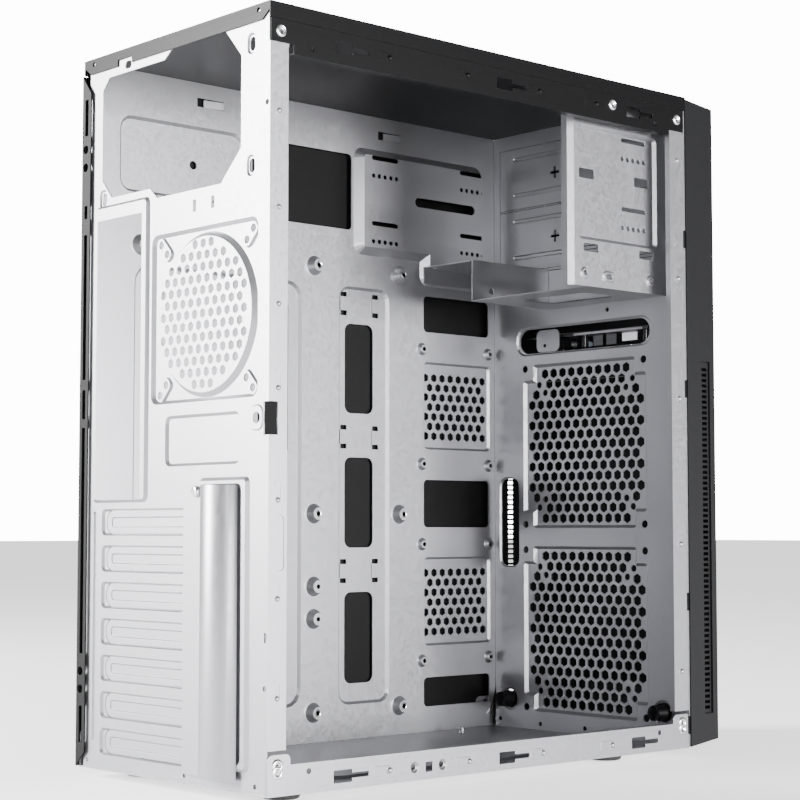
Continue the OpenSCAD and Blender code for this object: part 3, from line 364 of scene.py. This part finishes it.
# %% [markdown]
# ## Rivets
#
# Blind rivets hold the corners of both side frames. Each has a domed flange, a dished middle and a hollow
# shank.

# %% Rivets
cell = 0.012  # wider than one rivet, so that the vertices of each one share a key
islands = {}
for v in frame["nodes"]["frame_rivets"].data.vertices:
    key = (v.co.x > 0, round(v.co.y / cell), round(v.co.z / cell))
    islands.setdefault(key, []).append(v.co)
rivets = []
for n, (key, points) in enumerate(sorted(islands.items())):
    low = Vector([min(p[i] for p in points) for i in range(3)])
    high = Vector([max(p[i] for p in points) for i in range(3)])
    side = 1 if key[0] else -1
    depth = (high.x - low.x) / MM
    outer = high.x if side > 0 else low.x
    profile = [
        (0.95, -depth), (1.5, -depth), (1.5, -0.9), (3.35, -0.9), (3.4, -0.62), (3.1, -0.22),
        (2.6, -0.02), (2.2, 0.0), (1.85, -0.2), (1.6, -0.75), (1.0, -1.0), (0.95, -depth),
    ]
    head = (outer, (low.y + high.y) / 2, (low.z + high.z) / 2)
    rivets.append(turned(f"rivet_{n}", profile, head, (side, 0, 0)))
fit(joined("blind_rivets", rivets), "screw_steel", "chassis", "frame_rivets")
print(len(rivets), "rivets")

# %% [markdown]
# ## Feet and screws
#
# Each foot is a moulded rubber cup. A pan-head screw sits in its hollow and goes up through the floor.

# %% Feet
for name in [n for n in frame["nodes"] if n.startswith("foot_") and n != "foot_screws"]:
    low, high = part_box(name)
    r, h = (high.x - low.x) / 2 / MM, (high.z - low.z) / MM
    profile = [
        (2.0, h), (r - 0.3, h), (r, h - 0.3), (r - 0.5, 1.6), (r - 0.8, 0.8), (r - 1.3, 0.25), (r - 2.2, 0.0),
        (5.0, 0.0), (4.6, 0.15), (4.4, 0.6), (4.4, h - 2.0), (2.0, h - 2.0), (2.0, h),
    ]
    foot = turned(name + "_rubber", profile, (middle(name).x, middle(name).y, low.z), (0, 0, 1))
    fit(foot, "foot_rubber", "chassis", name)


def screw(name, place, axis, head_r, head_h, shank_r, shank_l):
    """A pan-head screw with its head towards axis, threads down the shank and a cross recess in the head."""
    profile = [(0.0, -shank_l), (shank_r * 0.6, -shank_l)]
    pitch, slot_w = 0.7, 0.75
    for k in range(int(shank_l / pitch)):
        a = -shank_l + pitch / 2 + k * pitch
        profile += [(shank_r * 0.84, a - 0.3), (shank_r, a)]
    profile += [(shank_r * 0.84, 0.0), (head_r - 0.15, 0.0), (head_r, 0.15), (head_r, head_h * 0.45)]
    profile += [(head_r * 0.88, head_h * 0.78), (head_r * 0.66, head_h * 0.95)]
    profile += [(head_r * 0.4, head_h), (0.0, head_h)]
    body = turned(name, profile, (0, 0, 0), (0, 0, 1), steps=32)
    cutters = []
    for turn in (0, math.pi / 2):
        bpy.ops.mesh.primitive_cube_add(size=1, location=(0, 0, head_h * MM))
        cutter = bpy.context.object
        cutter.scale = (head_r * 1.1 * MM, slot_w * MM, head_h * MM)
        cutter.rotation_euler = (0, 0, turn)
        cutters.append(settle(cutter))
    for cutter in cutters:
        only(body)
        cut = body.modifiers.new("recess", "BOOLEAN")
        cut.operation, cut.object, cut.solver = "DIFFERENCE", cutter, "EXACT"
        bpy.ops.object.modifier_apply(modifier="recess")
        bpy.data.objects.remove(cutter)
    body.rotation_euler = Vector(axis).to_track_quat("Z", "Y").to_euler()
    body.location = place
    return settle(body)


foot_screws = []
for name in ("foot_rear_left", "foot_rear_right", "foot_front_left", "foot_front_right"):
    low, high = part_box(name)
    place = (middle(name).x, middle(name).y, high.z - 2.0 * MM)
    foot_screws.append(screw(name + "_screw", place, (0, 0, -1), 3.9, 1.6, 1.9, 7.0))
fit(joined("foot_fixing_screws", foot_screws), "screw_steel", "chassis", "foot_screws")
low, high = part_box("shield_screw")
head_h = 2.2
place = (middle("shield_screw").x, high.y - head_h * MM, middle("shield_screw").z)
shield_screw = screw("shield_fixing_screw", place, (0, 1, 0), 3.1, head_h, 1.5, 6.0)
fit(shield_screw, "screw_steel", "shield_screw", "shield_screw")
print("feet and screws made")

# %% [markdown]
# ## Button springs
#
# Each is a coil of round wire, at the length that it has at rest.

# %% Springs
for which in ("power", "reset"):
    node = which + "_spring"
    low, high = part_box(node)
    radius, length = (high.x - low.x) / 2, high.y - low.y
    wire, turns = 0.28 * MM, 6
    bpy.ops.object.select_all(action="DESELECT")
    start = (radius - wire, 0, wire)
    bpy.ops.mesh.primitive_circle_add(vertices=10, radius=wire, location=start, rotation=(math.pi / 2, 0, 0))
    coil = bpy.context.object
    coil.name = which + "_coil_spring"
    bpy.ops.object.transform_apply(location=True, rotation=True, scale=True)
    winding = coil.modifiers.new("winding", "SCREW")
    winding.axis = "Z"
    winding.screw_offset = (length - 2 * wire) / turns
    winding.iterations = turns
    winding.steps = winding.render_steps = 24
    only(coil)
    bpy.ops.object.modifier_apply(modifier="winding")
    bpy.ops.object.mode_set(mode="EDIT")
    bpy.ops.mesh.select_all(action="DESELECT")
    bpy.ops.mesh.select_non_manifold()
    bpy.ops.mesh.edge_face_add()
    bpy.ops.object.mode_set(mode="OBJECT")
    coil.rotation_euler = (-math.pi / 2, 0, 0)
    coil.location = (middle(node).x, low.y, middle(node).z)
    settle(coil)
    fit(coil, "screw_steel", "bezel", node)
print("2 coil springs")

# %% [markdown]
# ## Pressed collars
#
# The standoffs of the two stated board patterns get a swaged collar round the threaded hole, which reads as a
# second ring inside the pressed foot.

# %% Standoff collars
found = set()
for mount in [m for m in record["mounts"] if m["name"].startswith("board_standoffs")]:
    cx, cy, cz = mount["pos_m"]
    sx, sy = mount["dims"]["spacing_x_mm"] / 2 * MM, mount["dims"]["spacing_y_mm"] / 2 * MM
    for a in (-1, 1):
        for b in (-1, 1):
            found.add((round(cx, 5), round(cy + a * sx, 5), round(cz + b * sy, 5)))
ring = [(1.52, 0.0), (1.75, -0.12), (2.2, -0.14), (2.45, 0.02), (2.45, 0.3), (1.52, 0.3), (1.52, 0.0)]
collars = []
for n, place in enumerate(sorted(found)):
    collars.append(turned(f"collar_{n}", ring, place, (1, 0, 0), steps=32))
fit(joined("standoff_collars", collars), "screw_steel", "chassis")
print(len(collars), "collars")

# %% [markdown]
# ## Front of the bezel
#
# The buttons and lamps get rounded edges, and the sockets get their tongues, contacts and plated sleeves.

# %% Buttons and lamps
low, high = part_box("power_button")
cap = rounded_block("power_button_cap", (low.x, low.y, low.z), (high.x, low.y + 6 * MM, high.z), 0.9, 4)
only(cap)
bpy.ops.object.mode_set(mode="EDIT")
bpy.ops.mesh.select_all(action="DESELECT")
bpy.ops.object.mode_set(mode="OBJECT")
for face in cap.data.polygons:
    face.select = face.normal.y < -0.99 and face.area > 0.00005
bpy.ops.object.mode_set(mode="EDIT")
bpy.ops.mesh.inset(thickness=0.0012)
bpy.ops.mesh.inset(thickness=0.0005, depth=-0.0005)
bpy.ops.mesh.inset(thickness=0.0008, depth=0.0003)
bpy.ops.object.mode_set(mode="OBJECT")
profile = [(0, 0), (2.0, 0), (2.0, -4.7), (1.7, -5.0), (0, -5.0)]
back = (middle("power_button").x, low.y + 6 * MM, middle("power_button").z)
stem = turned("power_stem", profile, back, (0, -1, 0))
fit(settle(joined("power_button_moulding", [cap, stem])), "button_plastic", "power_button", "power_button")

low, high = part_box("reset_button")
r = (high.x - low.x) / 2 / MM
profile = [(0, 0.15), (r * 0.5, 0.1), (r - 0.9, 0.0), (r - 0.35, 0.12), (r, 0.6)]
profile += [(r, 6.0), (1.2, 6.0), (1.2, 10.8), (1.0, 11.0), (0, 11.0)]
face = (middle("reset_button").x, low.y, middle("reset_button").z)
button = turned("reset_button_moulding", profile, face, (0, 1, 0))
fit(button, "button_plastic", "reset_button", "reset_button")

for node in ("power_lamp", "drive_lamp"):
    low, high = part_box(node)
    x, z = middle(node).x, high.z - 3.0 * MM
    profile = [(0, 0), (0.7, 0.12), (1.1, 0.5), (1.25, 1.2), (1.25, 7.0), (1.9, 7.0), (1.9, 9.0), (0, 9.0)]
    lens_piece = turned(node + "_lens", profile, (x, low.y, z), (0, 1, 0), steps=32)
    fit(lens_piece, "lamp_lens", "bezel", node)
print("buttons and lamps made")

# %% Insides of the sockets
for node in ("usb_port_1", "usb_port_2"):
    low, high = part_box(node)
    x, z = middle(node).x, middle(node).z
    near = (x - 5.4 * MM, low.y + 1.2 * MM, z + 0.2 * MM)
    far = (x + 5.4 * MM, high.y - 2.8 * MM, z + 1.9 * MM)
    tongue = rounded_block(node + "_tongue", near, far, 0.15, 2)
    fit(tongue, "button_plastic", "bezel")
    strips, pitch = [], 2.3
    for k in range(4):
        left = x + (k - 1.5) * pitch * MM - 0.5 * MM
        near = (left, low.y + 1.9 * MM, z - 0.02 * MM)
        far = (left + 1.0 * MM, high.y - 2.9 * MM, z + 0.3 * MM)
        strips.append(rounded_block(f"contact_{k}", near, far, 0.06, 1))
    fit(joined(node + "_contacts", strips), "screw_steel", "bezel")
for node in ("headphone_jack", "microphone_jack"):
    low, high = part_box(node)
    sleeve = [(1.5, 0.35), (1.6, 0.25), (1.78, 0.25), (1.78, 6.0), (1.5, 6.0), (1.5, 0.35)]
    ring = turned(node + "_sleeve", sleeve, (middle(node).x, low.y, high.z - 2.95 * MM), (0, 1, 0), steps=32)
    fit(ring, "screw_steel", "bezel")
print("2 tongues with contacts, 2 sleeves")

# %% [markdown]
# ## Under the connector board
#
# A strip in the pale steel finish stands for the laminate at the board's cut edge. Two capacitors stand under
# the board, with a rolled groove round their cans and a slightly sunk top.

# %% Board edge and capacitors
low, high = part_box("port_board")
top = high.z
near = (low.x + 5 * MM, high.y - 0.02 * MM, top - 1.55 * MM)
far = (high.x - 44 * MM, high.y + 0.3 * MM, top - 0.05 * MM)
edge_strip = rounded_block("laminate_edge", near, far, 0.1, 2)
fit(edge_strip, "galvanised_steel", "bezel")
cans = []
for n, x in enumerate((low.x + 4 * MM, low.x + 57 * MM)):
    can = [
        (0, 0), (2.1, 0), (2.3, 0.2), (2.3, 1.2), (2.05, 1.5), (2.05, 1.8), (2.3, 2.1), (2.3, 7.8),
        (2.1, 8.0), (1.8, 8.0), (1.7, 7.85), (0.2, 7.85), (0, 7.85),
    ]
    cans.append(turned(f"can_{n}", can, (x, high.y - 2.6 * MM, top - 1.62 * MM), (0, 0, -1), steps=32))
fit(joined("capacitors", cans), "button_plastic", "bezel")
print("laminate edge and", len(cans), "capacitors")

# %% Check and finish
end_size = [list(v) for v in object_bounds()]
change = [[round((b - a) / MM, 3) for a, b in zip(s, t)] for s, t in zip(start_size, end_size)]
print("size change, mm:", change)
